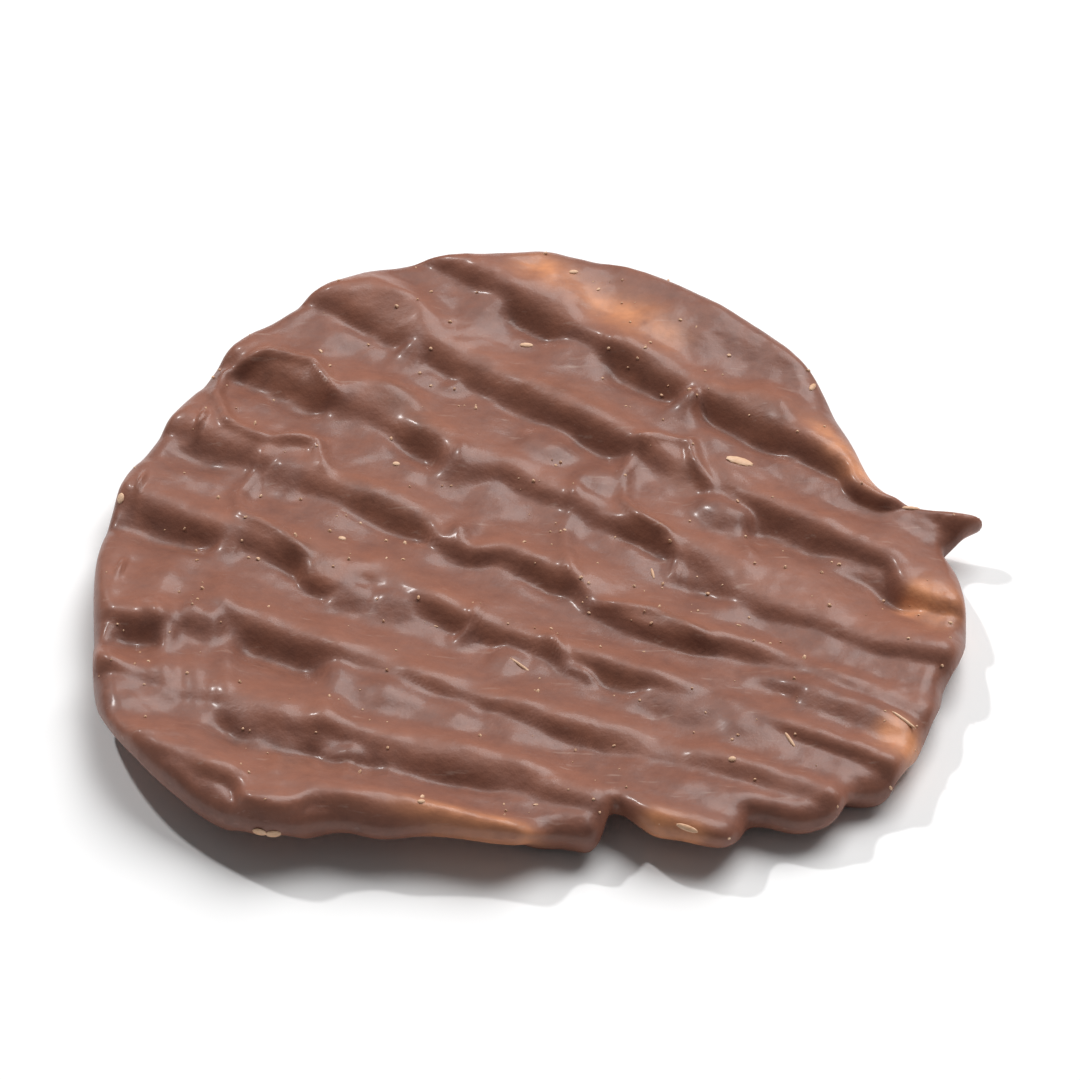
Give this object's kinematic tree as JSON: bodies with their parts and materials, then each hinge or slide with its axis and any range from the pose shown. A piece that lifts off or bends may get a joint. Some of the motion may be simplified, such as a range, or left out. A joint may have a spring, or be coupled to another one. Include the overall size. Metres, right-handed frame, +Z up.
{
  "type": "chocolate-coated ridged potato crisp",
  "caption": "Single ridge-cut potato crisp fully coated in milk chocolate, gently curled, with fanned ridges and a small torn spur on its rim.",
  "frame": {"origin": "centre of the bounding box's bottom face, on the surface that the crisp lies on", "axes": "+X to the viewer's right along the longest extent, +Y away from the viewer, +Z up through the thickness, out of the shown side"},
  "size_m": [0.0674, 0.064, 0.0059],
  "materials": {
    "milk_chocolate": "satin milk chocolate coat"
  },
  "bodies": {
    "root": {"coated_crisp": "milk_chocolate"}
  },
  "joints": []
}
